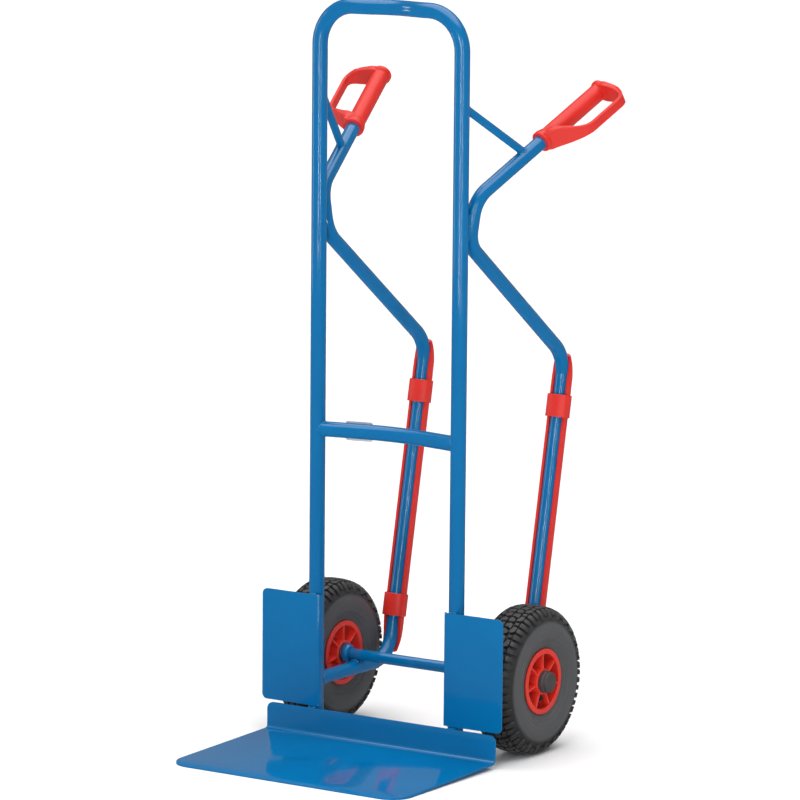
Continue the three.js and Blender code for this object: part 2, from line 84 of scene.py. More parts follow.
# plane of the two uprights, read from the main frame's own box
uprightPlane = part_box("main_frame")[0].y / mm + tubes["mainRadius"]


# sRGB hex to a linear colour, by the standard curve
def linear(hexColour):
    channels = [int(hexColour[i : i + 2], 16) / 255 for i in (1, 3, 5)]
    bent = [c / 12.92 if c <= 0.04045 else ((c + 0.055) / 1.055) ** 2.4 for c in channels]
    return (*bent, 1)


# sockets of a Mix node set to colour, whose names it shares with other kinds
mixShare, mixFirst, mixSecond, mixResult = 0, 6, 7, 2


def addNode(tree, kind, settings=None, links=None):
    node = tree.nodes.new(kind)
    for key, value in (settings or {}).items():
        if isinstance(key, int) or key in node.inputs:
            node.inputs[key].default_value = value
        else:
            setattr(node, key, value)
    for key, source in (links or {}).items():
        tree.links.new(source, node.inputs[key])
    return node


# painted sheen: the smooth side wall is painted paler than the tread, for the light it reflects; a
# mix by the distance from the axle
def paintedWallSheen(tree, place, tread, paintedSheen):
    axle = (0, (tubes["axleY"] + uprightPlane) * mm, tubes["axleZ"] * mm)
    offset = addNode(
        tree, "ShaderNodeVectorMath", {"operation": "SUBTRACT", 1: axle}, {0: place}
    ).outputs[0]
    flat = addNode(
        tree, "ShaderNodeVectorMath", {"operation": "MULTIPLY", 1: (0, 1, 1)}, {0: offset}
    ).outputs[0]
    distance = addNode(
        tree, "ShaderNodeVectorMath", {"operation": "LENGTH"}, {0: flat}
    ).outputs["Value"]
    share = addNode(
        tree,
        "ShaderNodeMapRange",
        {"From Min": paintedSheen["from"] * mm, "From Max": paintedSheen["to"] * mm},
        {"Value": distance},
    ).outputs["Result"]
    mix = addNode(
        tree,
        "ShaderNodeMix",
        {"data_type": "RGBA", mixFirst: linear(paintedSheen["colour"])},
        {mixShare: share, mixSecond: tread},
    )
    return mix.outputs[mixResult]


# how fine the colour drift and the grain are, the same for every finish
pattern = {
    "mottleDetail": 3.0,
    "mottleRoughness": 0.55,
    "grainDetail": 2.0,
    "grainRoughness": 0.5,
    "grainLow": 0.3,
    "grainHigh": 0.7,
}


def makeFinish(name, look):
    material = bpy.data.materials.new(name)
    material.use_nodes = True
    tree = material.node_tree
    shader = tree.nodes["Principled BSDF"]
    for key, value in look["shader"].items():
        shader.inputs[key].default_value = value
    place = addNode(tree, "ShaderNodeTexCoord").outputs["Object"]
    # slow drift of colour over the piece
    mottle = addNode(
        tree,
        "ShaderNodeTexNoise",
        {
            "Scale": 1 / (look["mottleSize"] * mm),
            "Detail": pattern["mottleDetail"],
            "Roughness": pattern["mottleRoughness"],
        },
        {"Vector": place},
    )
    colour = addNode(
        tree,
        "ShaderNodeMix",
        {
            "data_type": "RGBA",
            mixFirst: linear(look["dark"]),
            mixSecond: linear(look["light"]),
        },
        {mixShare: mottle.outputs["Fac"]},
    )
    tint = colour.outputs[mixResult]
    # painted sheen: the tyre's side wall is painted a paler grey than its tread
    if "paintedSheen" in look:
        tint = paintedWallSheen(tree, place, tint, look["paintedSheen"])
    tree.links.new(tint, shader.inputs["Base Color"])
    # surface grain, which also breaks up the gloss
    grain = addNode(
        tree,
        "ShaderNodeTexNoise",
        {
            "Scale": 1 / (look["grainSize"] * mm),
            "Detail": pattern["grainDetail"],
            "Roughness": pattern["grainRoughness"],
        },
        {"Vector": place},
    )
    gloss = addNode(
        tree,
        "ShaderNodeMapRange",
        {
            "From Min": pattern["grainLow"],
            "From Max": pattern["grainHigh"],
            "To Min": look["gloss"][0],
            "To Max": look["gloss"][1],
        },
        {"Value": grain.outputs["Fac"]},
    )
    tree.links.new(gloss.outputs["Result"], shader.inputs["Roughness"])
    height = grain.outputs["Fac"]
    if "pits" in look:
        pits = addNode(
            tree,
            "ShaderNodeTexVoronoi",
            {"Scale": 1 / (look["pits"] * mm)},
            {"Vector": place},
        )
        height = addNode(
            tree, "ShaderNodeMath", {"operation": "ADD"}, {0: height, 1: pits.outputs["Distance"]}
        ).outputs[0]
    bump = addNode(
        tree,
        "ShaderNodeBump",
        {"Strength": look["bump"], "Distance": look["grainDepth"] * mm},
        {"Height": height},
    )
    tree.links.new(bump.outputs["Normal"], shader.inputs["Normal"])
    return material


finishes = {
    # Polyester powder baked on steel: even glossy blue with a faint orange peel, about 2.5 mm
    # from dimple to dimple, which softens the edges of each reflection.
    "powder-coated steel": {
        "shader": {"IOR": 1.5, "Coat Weight": 0.1, "Coat Roughness": 0.03},
        "dark": "#00639a",
        "light": "#006da6",
        "mottleSize": 90,
        "gloss": (0.07, 0.1),
        "grainSize": 2.5,
        "grainDepth": 0.03,
        "bump": 0.1,
    },
    # Polypropylene from a spark-eroded mould: satin red with a fine matt grain. The real grain
    # of 0.3 mm is drawn at 1.1 mm so that it shows.
    "moulded polypropylene": {
        "shader": {"IOR": 1.49, "Specular IOR Level": 0.4},
        "dark": "#d4251d",
        "light": "#de3027",
        "mottleSize": 40,
        "gloss": (0.36, 0.5),
        "grainSize": 1.1,
        "grainDepth": 0.1,
        "bump": 0.3,
    },
    # Rim halves moulded in a polished tool: the same red, a little glossier and flatter.
    "moulded nylon rim": {
        "shader": {"IOR": 1.53},
        "dark": "#d92c20",
        "light": "#e4392b",
        "mottleSize": 30,
        "gloss": (0.28, 0.4),
        "grainSize": 1.6,
        "grainDepth": 0.08,
        "bump": 0.25,
    },
    # Vulcanised tyre rubber: dull charcoal with a pale bloom in patches and a fine pitted skin.
    "tyre rubber": {
        "shader": {"IOR": 1.52, "Sheen Weight": 0.06, "Sheen Roughness": 0.5},
        "dark": "#1f1f20",
        "light": "#2b2b2c",
        "mottleSize": 26,
        "gloss": (0.42, 0.6),
        # painted sheen: inside this radius the side wall is painted this paler grey, for the light it
        # reflects
        "paintedSheen": {"from": 101, "to": 107, "colour": "#4c4d4f"},
        "grainSize": 1.4,
        "grainDepth": 0.15,
        "bump": 0.35,
        "pits": 2.2,
    },
    # Butyl inner tube, hidden in the tyre: smooth, black, powdered with talc.
    "butyl tube rubber": {
        "shader": {"IOR": 1.5},
        "dark": "#161616",
        "light": "#2a2a2a",
        "mottleSize": 20,
        "gloss": (0.55, 0.7),
        "grainSize": 2,
        "grainDepth": 0.1,
        "bump": 0.2,
    },
    # Hub cap: polypropylene coloured dark grey, satin.
    "grey moulded cap": {
        "shader": {"IOR": 1.49},
        "dark": "#403d3e",
        "light": "#494647",
        "mottleSize": 15,
        "gloss": (0.34, 0.46),
        "grainSize": 0.9,
        "grainDepth": 0.06,
        "bump": 0.25,
    },
    # Bright zinc plate on turned steel: cool, slightly cloudy metal.
    "zinc-plated steel": {
        "shader": {"Metallic": 1.0},
        "dark": "#a9adb1",
        "light": "#c4c7ca",
        "mottleSize": 8,
        "gloss": (0.22, 0.36),
        "grainSize": 0.8,
        "grainDepth": 0.03,
        "bump": 0.2,
    },
    # Valve stem: nickel-washed brass, dulled by handling.
    "valve brass": {
        "shader": {"Metallic": 1.0},
        "dark": "#9b8752",
        "light": "#b9a878",
        "mottleSize": 4,
        "gloss": (0.28, 0.42),
        "grainSize": 0.6,
        "grainDepth": 0.03,
        "bump": 0.2,
    },
    # Blank rating label: pale grey vinyl with a satin overlaminate.
    "vinyl label": {
        "shader": {"IOR": 1.48, "Coat Weight": 0.2, "Coat Roughness": 0.25},
        "dark": "#c3c6c8",
        "light": "#cfd1d3",
        "mottleSize": 25,
        "gloss": (0.32, 0.42),
        "grainSize": 1.5,
        "grainDepth": 0.03,
        "bump": 0.15,
    },
}
materials = {name: makeFinish(name, look) for name, look in finishes.items()}
slotFinish = {
    "frame_paint": "powder-coated steel",
    "red_plastic": "moulded polypropylene",
    "rim_plastic": "moulded nylon rim",
    "tyre_rubber": "tyre rubber",
    "tube_rubber": "butyl tube rubber",
    "grey_plastic": "grey moulded cap",
    "zinc_steel": "zinc-plated steel",
    "valve_brass": "valve brass",
    "rating_label": "vinyl label",
}
nodeSlot = {row["node"]: row["material_slot"] for row in frame["record"]["subparts"]}
for nodeName, node in frame["nodes"].items():
    node.data.materials.clear()
    node.data.materials.append(materials[slotFinish[nodeSlot[nodeName]]])
print("materials made:", len(materials))


# a shape is a list of points in millimetres and a list of faces; a piece is a shape on its body
meshing = {
    "merge": 0.01,  # points nearer than this become one
    "bevelOver": 50,  # degrees between two faces before their edge is bevelled
    "bevelSteps": 3,
    "sharp": 38,  # degrees between two faces before their edge is shaded as a corner
}


def makePiece(name, shape, slot, body="frame", replaced=(), side=1, edge=None, sharp=None):
    points, faces = shape
    mesh = bpy.data.meshes.new(name)
    placed = [(x * side * mm, (y + uprightPlane) * mm, z * mm) for x, y, z in points]
    mesh.from_pydata(placed, [], faces)
    build = bmesh.new()
    build.from_mesh(mesh)
    bmesh.ops.remove_doubles(build, verts=build.verts, dist=meshing["merge"] * mm)
    bmesh.ops.dissolve_degenerate(build, edges=build.edges, dist=meshing["merge"] * mm)
    bmesh.ops.recalc_face_normals(build, faces=build.faces)
    if edge:
        corner = math.radians(edge.get("over", meshing["bevelOver"]))
        keen = [e for e in build.edges if e.is_manifold and e.calc_face_angle(0) > corner]
        bmesh.ops.bevel(
            build,
            geom=keen,
            offset=edge["width"] * mm,
            segments=edge.get("steps", meshing["bevelSteps"]),
            profile=0.5,
            affect="EDGES",
            clamp_overlap=True,
        )
    for face in build.faces:
        face.smooth = True
    corner = math.radians(sharp or meshing["sharp"])
    for line in build.edges:
        if line.is_manifold and line.calc_face_angle(0) > corner:
            line.smooth = False
    build.to_mesh(mesh)
    build.free()
    mesh.materials.append(materials[slotFinish[slot]])
    piece = bpy.data.objects.new(name, mesh)
    bpy.context.scene.collection.objects.link(piece)
    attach(piece, body)
    if replaced:
        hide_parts(*replaced)
    return piece


def joined(*shapes):
    points, faces = [], []
    for somePoints, someFaces in shapes:
        start = len(points)
        points += [tuple(p) for p in somePoints]
        faces += [tuple(i + start for i in face) for face in someFaces]
    return points, faces


def moved(shape, place):
    points, faces = shape
    return [tuple(place(Vector(p))) for p in points], faces


# corners joined by straight runs, each corner bent to its own radius
def rounded(corners, radii, steps, closed=False):
    corners = [Vector(c).to_3d() for c in corners]
    count = len(corners)
    if not isinstance(radii, (list, tuple)):
        radii = [radii] * count
    path = []
    for i, corner in enumerate(corners):
        if radii[i] <= 0 or (not closed and i in (0, count - 1)):
            path.append(corner)
            continue
        back = corners[i - 1] - corner
        front = corners[(i + 1) % count] - corner
        half = back.angle(front) / 2
        reach = min(radii[i] / math.tan(half), 0.49 * back.length, 0.49 * front.length)
        bend = reach * math.tan(half)
        back.normalize()
        front.normalize()
        centre = corner + (back + front).normalized() * bend / math.sin(half)
        start = corner + back * reach - centre
        axis = front.cross(back).normalized()
        for k in range(steps + 1):
            turn = Matrix.Rotation((math.pi - 2 * half) * k / steps, 3, axis)
            path.append(centre + turn @ start)
    return path


def circle(radius, sides):
    angles = [2 * math.pi * i / sides for i in range(sides)]
    return [(radius * math.cos(a), radius * math.sin(a)) for a in angles]


def directions(points, closed):
    last = len(points) - 1
    result = []
    for i, point in enumerate(points):
        ahead = points[(i + 1) % len(points)] if closed else points[min(i + 1, last)]
        behind = points[i - 1] if closed or i else points[0]
        forward = (ahead - point).normalized() if (ahead - point).length > 0 else Vector()
        backward = (point - behind).normalized() if (point - behind).length > 0 else Vector()
        result.append((forward + backward).normalized())
    return result


# rings of the outline at each point of a path, turned as little as possible on the way
def ringsAlong(points, outlineAt, closed=False):
    tangents = directions(points, closed)
    across = tangents[0].orthogonal().normalized()
    rings = []
    for i, (point, tangent) in enumerate(zip(points, tangents)):
        across = (across - tangent * across.dot(tangent)).normalized()
        up = tangent.cross(across)
        rings.append([point + across * a + up * b for a, b in outlineAt(i)])
    return rings


# faces between rings of points, with a cap on both ends unless the rings close on themselves
def skinned(rings, closed=False):
    size = len(rings[0])
    points = [tuple(p) for ring in rings for p in ring]
    faces = []
    for row in range(len(rings) if closed else len(rings) - 1):
        low = row * size
        high = ((row + 1) % len(rings)) * size
        for i in range(size):
            j = (i + 1) % size
            faces.append((low + i, low + j, high + j, high + i))
    if not closed:
        faces.append(tuple(range(size)))
        faces.append(tuple((len(rings) - 1) * size + i for i in range(size)))
    return points, faces


def tube(points, radius, wall=tubes["wall"]):
    sides = tubes["sides"]
    outer = ringsAlong(points, lambda i: circle(radius, sides))
    inner = ringsAlong(points, lambda i: circle(radius - wall, sides))
    loops = [*outer, *reversed(inner)]
    return skinned(loops, closed=True)


# a profile of (radius, distance along X) pairs turned about the X axis
def turned(profile, sides):
    rings = []
    for i in range(sides):
        a = 2 * math.pi * i / sides
        rings.append([Vector((x, -r * math.sin(a), r * math.cos(a))) for r, x in profile])
    return skinned(rings, closed=True)


def roundedProfile(profile, radii, steps=4):
    path = rounded([(r, x, 0) for r, x in profile], radii, steps, closed=True)
    return [(p.x, p.y) for p in path]


# tube frame
frameLoop = {
    "top": 1290.5,
    "foot": 12,
    "corner": 68,
    "bow": 15,
    "bendSteps": 20,
    "bowSteps": 26,
}


def mainFramePath():
    x = tubes["uprightX"]
    top = frameLoop["top"]
    foot = frameLoop["foot"]
    corners = [(-x, 0, foot), (-x, 0, top), (x, 0, top), (x, 0, foot)]
    loop = rounded(corners, frameLoop["corner"], frameLoop["bendSteps"])
    reach = x - frameLoop["corner"]
    bow = []
    for i in range(1, frameLoop["bowSteps"]):
        at = -reach + 2 * reach * i / frameLoop["bowSteps"]
        depth = frameLoop["bow"] * math.cos(math.pi * at / (2 * reach)) ** 2
        bow.append(Vector((at, depth, top)))
    half = len(loop) // 2
    return [*loop[:half], *bow, *loop[half:]]


makePiece(
    "mainFrame",
    tube(mainFramePath(), tubes["mainRadius"]),
    "frame_paint",
    replaced=["main_frame"],
    edge={"width": 0.5, "steps": 2},
)

crossBar = {"height": 552.5, "bow": 30, "bend": 500, "bendSteps": 26}
crossEnd = Vector((tubes["uprightX"], 0, crossBar["height"]))
crossPath = rounded(
    [(-crossEnd.x, 0, crossEnd.z), (0, crossBar["bow"], crossEnd.z), crossEnd],
    [0, crossBar["bend"], 0],
    crossBar["bendSteps"],
)
makePiece(
    "crossTube",
    tube(crossPath, tubes["mainRadius"]),
    "frame_paint",
    replaced=["cross_tube"],
)

# side tube: foot run, skid run, diagonal, short run on the upright, grip arm
sideRun = {
    "footStart": 4,
    "footZ": 107.2,
    "lowY": 230.3,
    "highY": 340.5,
    "lean": 0.1978,
    "knee": (146.5, 26.3, 894),
    "shoulder": (158.6, 26.7, 972.3),
    "arm": (0.2077, 0.8404, 0.5006),
    "collar": 175,
    "gripLength": 170,
    "shortOfEnd": 12,  # the arm stops this far inside the grip's closed end
    "bends": [0, 64, 64, 52, 52, 0],
    "bendSteps": 20,
}
armDirection = Vector(sideRun["arm"]).normalized()
shoulder = Vector(sideRun["shoulder"])


def onArm(distance):
    return shoulder + armDirection * distance


# centre line of the right side tube, from its foot on the upright to its end in the grip
def sidePath():
    x = tubes["uprightX"]
    rise = (sideRun["highY"] - sideRun["lowY"]) / sideRun["lean"]
    corners = [
        (x, sideRun["footStart"], sideRun["footZ"]),
        (x, sideRun["lowY"], sideRun["footZ"]),
        (x, sideRun["highY"], sideRun["footZ"] + rise),
        sideRun["knee"],
        sideRun["shoulder"],
        onArm(sideRun["collar"] + sideRun["gripLength"] - sideRun["shortOfEnd"]),
    ]
    return rounded(corners, sideRun["bends"], sideRun["bendSteps"])


# where each strut meets the upright, and how far in front of the grip it meets the arm
struts = {
    "right": {"height": 1133, "beforeGrip": 37.5},
    "left": {"height": 1147, "beforeGrip": 61},
}
for hand, side in hands.items():
    makePiece(
        "sideTube." + hand,
        tube(sidePath(), tubes["sideRadius"]),
        "frame_paint",
        replaced=["side_tube_" + hand],
        side=side,
    )
    strutFoot = Vector((tubes["uprightX"], 0, struts[hand]["height"]))
    strutHead = onArm(sideRun["collar"] - struts[hand]["beforeGrip"])
    makePiece(
        "gripStrut." + hand,
        tube([strutFoot, strutHead], tubes["strutRadius"], tubes["strutWall"]),
        "frame_paint",
        replaced=["grip_strut_" + hand],
        side=side,
    )
print("tubes bent")

# welds: rippled beads where tubes and sheets meet
weld = {
    "radius": 2.1,
    "strutRadius": 1.6,
    "step": 1.1,
    "ripple": 0.13,
    "ripplePitch": 3.2,
    "phase": 6,  # each bead starts its ripple anywhere up to here, in radians
    "scatter": 0.05,
    "blunt": 0.15,  # how thick an open bead's very end still is
    "sides": 10,
    "crossInset": 1,  # the cross tube's bead is drawn this much inside its own radius
}
# both sides of the contact between the short run of the side tube and the upright
kneeWeld = {"radius": 2.4, "half": 6.4, "y": 12.6, "low": (1.5, 902), "high": (4, 948)}
# before and behind the axle, over the foot run
axleWeld = {"radius": 2.6, "half": 9, "lean": 8.6, "lift": 0.8}
# across the front of the upright: height and half width of each bead
frontWeld = {"radius": 1.7, "lift": 0.6, "beads": ((261.5, 7), (62.5, 7), (58.9, 8))}
# down both sides of the upright, to the toe plate's flange
flangeWeld = {"radius": 1.9, "half": 8, "y": -12, "low": 22, "high": 52}


# the line where a branch tube runs into a main tube
def saddle(mainPoint, mainAxis, mainRadius, branchPoint, branchAxis, branchRadius):
    branchAxis = branchAxis.normalized()
    across = branchAxis.orthogonal().normalized()
    up = branchAxis.cross(across)
    count = round(2 * math.pi * branchRadius / weld["step"])
    ring = []
    for i in range(count):
        a = 2 * math.pi * i / count
        start = branchPoint + (across * math.cos(a) + up * math.sin(a)) * branchRadius
        offset = start - mainPoint
        offset -= mainAxis * offset.dot(mainAxis)
        reach = branchAxis - mainAxis * branchAxis.dot(mainAxis)
        square = reach.length_squared
        linearTerm = offset.dot(reach)
        rest = offset.length_squared - mainRadius**2
        t = (-linearTerm + math.sqrt(max(linearTerm**2 - square * rest, 0))) / square
        ring.append(start + branchAxis * t)
    return ring


# a round bar along the points, as thick as its ripple says
def bead(points, closed=True, radius=None):
    radius = radius or weld["radius"]
    start = dice.uniform(0, weld["phase"])
    sizes = []
    for i in range(len(points)):
        wave = math.sin(start + 2 * math.pi * i * weld["step"] / weld["ripplePitch"])
        scatter = dice.uniform(-weld["scatter"], weld["scatter"])
        size = radius * (1 + weld["ripple"] * wave + scatter)
        ends = min(i, len(points) - 1 - i) * weld["step"] / radius
        sizes.append(size if closed else size * math.sqrt(min(1, weld["blunt"] + ends)))
    rings = ringsAlong(points, lambda i: circle(sizes[i], weld["sides"]), closed)
    return skinned(rings, closed=closed)


# evenly spaced points on a line through the given ones
def spaced(corners):
    corners = [Vector(c) for c in corners]
    points = [corners[0]]
    for a, b in zip(corners, corners[1:]):
        count = max(1, round((b - a).length / weld["step"]))
        points += [a.lerp(b, k / count) for k in range(1, count + 1)]
    return points


vertical = Vector((0, 0, 1))


def frameWelds(hand):
    x = tubes["uprightX"]
    main = tubes["mainRadius"]
    low = tubes["sideRadius"]
    thin = tubes["strutRadius"]
    upright = Vector((x, 0, 0))
    footStart = Vector((x, 0, sideRun["footZ"]))
    rearwards = Vector((0, 1, 0))
    strutFoot = Vector((x, 0, struts[hand]["height"]))
    strutHead = onArm(sideRun["collar"] - struts[hand]["beforeGrip"])
    crossAxis = crossPath[-2] - crossEnd
    crossRadius = main - weld["crossInset"]
    strutAxis = strutHead - strutFoot
    beads = [
        bead(saddle(upright, vertical, main, crossEnd, crossAxis, crossRadius)),
        bead(saddle(upright, vertical, main, footStart, rearwards, low)),
        bead(
            saddle(upright, vertical, main, strutFoot, strutAxis, thin),
            radius=weld["strutRadius"],
        ),
        bead(
            saddle(strutHead, armDirection, low, strutHead, -strutAxis, thin),
            radius=weld["strutRadius"],
        ),
    ]
    for way in (-1, 1):
        ends = [
            (x + out + way * kneeWeld["half"], kneeWeld["y"], height)
            for out, height in (kneeWeld["low"], kneeWeld["high"])
        ]
        beads.append(bead(spaced(ends), closed=False, radius=kneeWeld["radius"]))
    for way in (-1, 1):
        y = tubes["axleY"] + way * axleWeld["lean"]
        arch = []
        for k in range(-axleWeld["half"], axleWeld["half"] + 1):
            rise = math.sqrt(low**2 - k**2)
            arch.append((x + k, y, sideRun["footZ"] + rise + axleWeld["lift"]))
        beads.append(bead(spaced(arch), closed=False, radius=axleWeld["radius"]))
    for height, half in frontWeld["beads"]:
        bow = []
        for k in range(-half, half + 1):
            bow.append((x + k, -math.sqrt(main**2 - k**2) - frontWeld["lift"], height))
        beads.append(bead(spaced(bow), closed=False, radius=frontWeld["radius"]))
    for way in (-1, 1):
        beside = x + way * flangeWeld["half"]
        ends = [(beside, flangeWeld["y"], flangeWeld[end]) for end in ("low", "high")]
        beads.append(bead(spaced(ends), closed=False, radius=flangeWeld["radius"]))
    return joined(*beads)


for hand, side in hands.items():
    makePiece("welds." + hand, frameWelds(hand), "frame_paint", side=side, sharp=80)
print("welds laid")


# sheet metal: rows across the sheet, each with its two skins and its two ends
def foldedSheet(rows, place):
    rings = []
    for back, front, low, high in rows:
        rings.append([place(back, low), place(front, low), place(front, high), place(back, high)])
    return skinned(rings)


# distances from an edge, and how far a round corner there cuts in, from the edge inwards
def cornerSteps(radius, steps):
    angles = [math.pi / 2 * k / steps for k in range(steps + 1)]
    return [(radius * (1 - math.cos(a)), radius * (1 - math.sin(a))) for a in angles]


# toe plate: flange on the uprights, blade running down to the front
toe = {
    "width": 477,
    "thickness": 4,
    "front": -313.6,
    "heelLift": 8.4,
    "flangeTop": 58.4,
    "plateCorner": 38,
    "flangeCorner": 12,
    "heelBend": 8,  # radius in the middle of the sheet
    "tip": 2.5,
    "taper": 12,
    "flangeSteps": 8,
    "plateSteps": 14,
    "heelSteps": 8,
}


def toeShape():
    heel = -tubes["mainRadius"] - gap
    slope = toe["heelLift"] / (heel - toe["front"])
    half = toe["width"] / 2
    thick = toe["thickness"]

    def under(y):
        return toe["heelLift"] + (y - heel) * slope

    # one skin of the bend between flange and blade, seen from the side
    def heelBend(y, lift, radius):
        top = (y, toe["flangeTop"], 0)
        corner = (y, under(y) + lift, 0)
        front = (toe["front"], under(toe["front"]) + lift, 0)
        return rounded([top, corner, front], radius, toe["heelSteps"])[1:-1]

    rows = []
    for down, cut in cornerSteps(toe["flangeCorner"], toe["flangeSteps"]):
        z = toe["flangeTop"] - down
        rows.append(((heel, z), (heel - thick, z), cut))
    outside = heelBend(heel, 0, toe["heelBend"] + thick / 2)
    inside = heelBend(heel - thick, thick, toe["heelBend"] - thick / 2)
    for a, b in zip(outside, inside):
        rows.append(((a.x, a.y), (b.x, b.y), 0))
    for ahead, cut in reversed(cornerSteps(toe["plateCorner"], toe["plateSteps"])):
        y = toe["front"] + ahead
        tip = under(y) + toe["tip"] + (thick - toe["tip"]) * min(ahead / toe["taper"], 1)
        rows.append(((y, under(y)), (y, tip), cut))
    rows = [(back, front, cut - half, half - cut) for back, front, cut in rows]
    return foldedSheet(rows, lambda p, x: Vector((x, p[0], p[1])))


makePiece(
    "toePlate",
    toeShape(),
    "frame_paint",
    replaced=["toe_plate"],
    edge={"width": 0.8, "steps": 3, "over": 40},
)

# wheel guard: a flat plate on the front of the upright, folded back along its inner edge
guard = {
    "outerX": 250.5,
    "bottom": 63,
    "top": 261,
    "thickness": 2.5,
    "foldDepth": 10,
    "foldSlope": 6,
    "bend": 5,
    "bendSteps": 8,
    "corner": 10,
    "cornerSteps": 9,
}


def guardShape():
    back = -tubes["mainRadius"] - gap
    thick = guard["thickness"]
    front = back - thick
    foldX = tubes["uprightX"] - tubes["mainRadius"] - gap - thick
    rear = back + guard["foldDepth"]
    slope = guard["foldSlope"]
    low, high = guard["bottom"], guard["top"]
    rows = []
    for step in (0, 1):
        y = rear - slope * step
        cut = slope * (1 - step)
        rows.append(((foldX + thick, y), (foldX, y), low + cut, high - cut))
    for k in range(guard["bendSteps"] + 1):
        a = math.pi / 2 * k / guard["bendSteps"]
        centre = Vector((foldX + guard["bend"], front + guard["bend"]))
        ray = Vector((-math.cos(a), -math.sin(a)))
        inner = centre + ray * (guard["bend"] - thick)
        outer = centre + ray * guard["bend"]
        rows.append((tuple(inner), tuple(outer), low, high))
    for inwards, cut in reversed(cornerSteps(guard["corner"], guard["cornerSteps"])):
        x = guard["outerX"] - inwards
        rows.append(((x, back), (x, front), low + cut, high - cut))
    return foldedSheet(rows, lambda p, z: Vector((p[0], p[1], z)))


for hand, side in hands.items():
    makePiece(
        "wheelGuard." + hand,
        guardShape(),
        "frame_paint",
        replaced=["wheel_guard_" + hand],
        side=side,
        edge={"width": 0.6, "steps": 3, "over": 40},
    )
print("sheet metal folded")

# hand grip: sleeve, flared collar, closed end and knuckle guard, fused into one moulding
grip = {
    "collar": 19,
    "sleeve": 15.7,
    "end": 18.5,
    "reach": 66.5,
    "band": 6,
    "stations": 70,
    "rim": 2.0,  # raised ridge along the guard's upper edge
    "rimFrom": 13,
    "rimStop": (150, 46),  # no ridge past this far along and nearer the sleeve than this
    "rimInset": 0.2,
    "rimSides": 10,
    "bowSteps": 20,
    "cornerSteps": 12,
    "voxel": 0.9,
    "soften": 2,
    # distance out from the sleeve, then the guard's upper and lower edge there
    "edges": [(0, -15, 15), (16, -17.5, 17.5), (40, -13, 17), (55, -5.5, 16), (67, 0.5, 14.5)],
    # sleeve outline seen along the arm: lengths of the collar, its slope, and the end bead
    "collarLong": 8,
    "slopeEnd": 21,
    "beadStart": 13,
    "beadRise": 9,
    "beadEnd": 3,
    "endFace": 15.5,
    "radii": [0, 1.2, 9, 16, 3, 2, 2, 2, 0],
    "radiusSteps": 6,
    "sides": 64,
}
gripOut = Vector((armDirection.y, -armDirection.x, 0)).normalized()
gripDown = armDirection.cross(gripOut)


def gripPlace(p):
    return onArm(sideRun["collar"]) + armDirection * p.x + gripOut * p.y + gripDown * p.z


def bezier(a, b, c, d, steps):
    points = []
    for i in range(steps + 1):
        t = i / steps
        u = 1 - t
        x, y = (
            u**3 * a[k] + 3 * u * u * t * b[k] + 3 * u * t * t * c[k] + t**3 * d[k] for k in (0, 1)
        )
        points.append(Vector((x, y)))
    return points


# the same number of points, evenly spaced along a line
def evenly(points, count):
    lengths = [0]
    for a, b in zip(points, points[1:]):
        lengths.append(lengths[-1] + (b - a).length)
    result, k = [], 0
    for i in range(count):
        want = lengths[-1] * i / (count - 1)
        while k < len(points) - 2 and lengths[k + 1] < want:
            k += 1
        share = (want - lengths[k]) / max(lengths[k + 1] - lengths[k], 1e-9)
        result.append(points[k].lerp(points[k + 1], min(share, 1)))
    return result


# upper and lower edge of the guard at a distance out from the sleeve
def guardEdges(out):
    stops = grip["edges"]
    for (a, topA, lowA), (b, topB, lowB) in zip(stops, stops[1:]):
        if out <= b or b == stops[-1][0]:
            t = min((out - a) / (b - a), 1)
            return topA + (topB - topA) * t, lowA + (lowB - lowA) * t


def gripShape():
    length = sideRun["gripLength"]
    reach = grip["reach"]
    inside = reach - grip["band"]
    bow, corner = grip["bowSteps"], grip["cornerSteps"]
    # outside of the D, (along the sleeve, out from it): swept front leg, straight band, rear corner
    end = length - 1
    outer = [Vector((3, 6))]
    outer += bezier((4, 14), (22, 26), (42, reach - 4), (68, reach), bow)
    outer += bezier(
        (end - 28, reach), (end - 15, reach), (end - 6, reach - 8), (end - 3, reach - 21), corner
    )
    outer.append(Vector((end, 4)))
    # the opening for the fingers, in the same order
    near = end - 13
    inner = [Vector((27, 6))]
    inner += bezier((29, 14), (34, 34), (46, inside), (76, inside), bow)
    inner += bezier(
        (near - 14, inside), (near - 5, inside), (near, inside - 5), (near, inside - 14), corner
    )
    inner.append(Vector((near, 4)))
    outer = evenly(outer, grip["stations"])
    inner = evenly(inner, grip["stations"])
    rings = []
    rim = []
    for far, close in zip(outer, inner):
        farTop, farLow = guardEdges(far.y)
        closeTop, closeLow = guardEdges(close.y)
        rings.append(
            [
                Vector((far.x, far.y, farTop)),
                Vector((far.x, far.y, farLow)),
                Vector((close.x, close.y, closeLow)),
                Vector((close.x, close.y, closeTop)),
            ]
        )
        stopAlong, stopOut = grip["rimStop"]
        if far.y > grip["rimFrom"] and not (far.x > stopAlong and far.y < stopOut):
            inset = far.lerp(close, grip["rimInset"])
            rim.append(Vector((inset.x, inset.y, guardEdges(inset.y)[0])))
    profile = [
        (0, 0),
        (grip["collar"], 0),
        (grip["collar"], grip["collarLong"]),
        (grip["sleeve"], grip["slopeEnd"]),
        (grip["sleeve"], length - grip["beadStart"]),
        (grip["end"], length - grip["beadRise"]),
        (grip["end"], length - grip["beadEnd"]),
        (grip["endFace"], length),
        (0, length),
    ]
    outline = roundedProfile(profile, grip["radii"], grip["radiusSteps"])
    sleeve = turned(outline, grip["sides"])
    ridge = skinned(ringsAlong(rim, lambda i: circle(grip["rim"], grip["rimSides"])))
    return moved(joined(skinned(rings), sleeve, ridge), gripPlace)


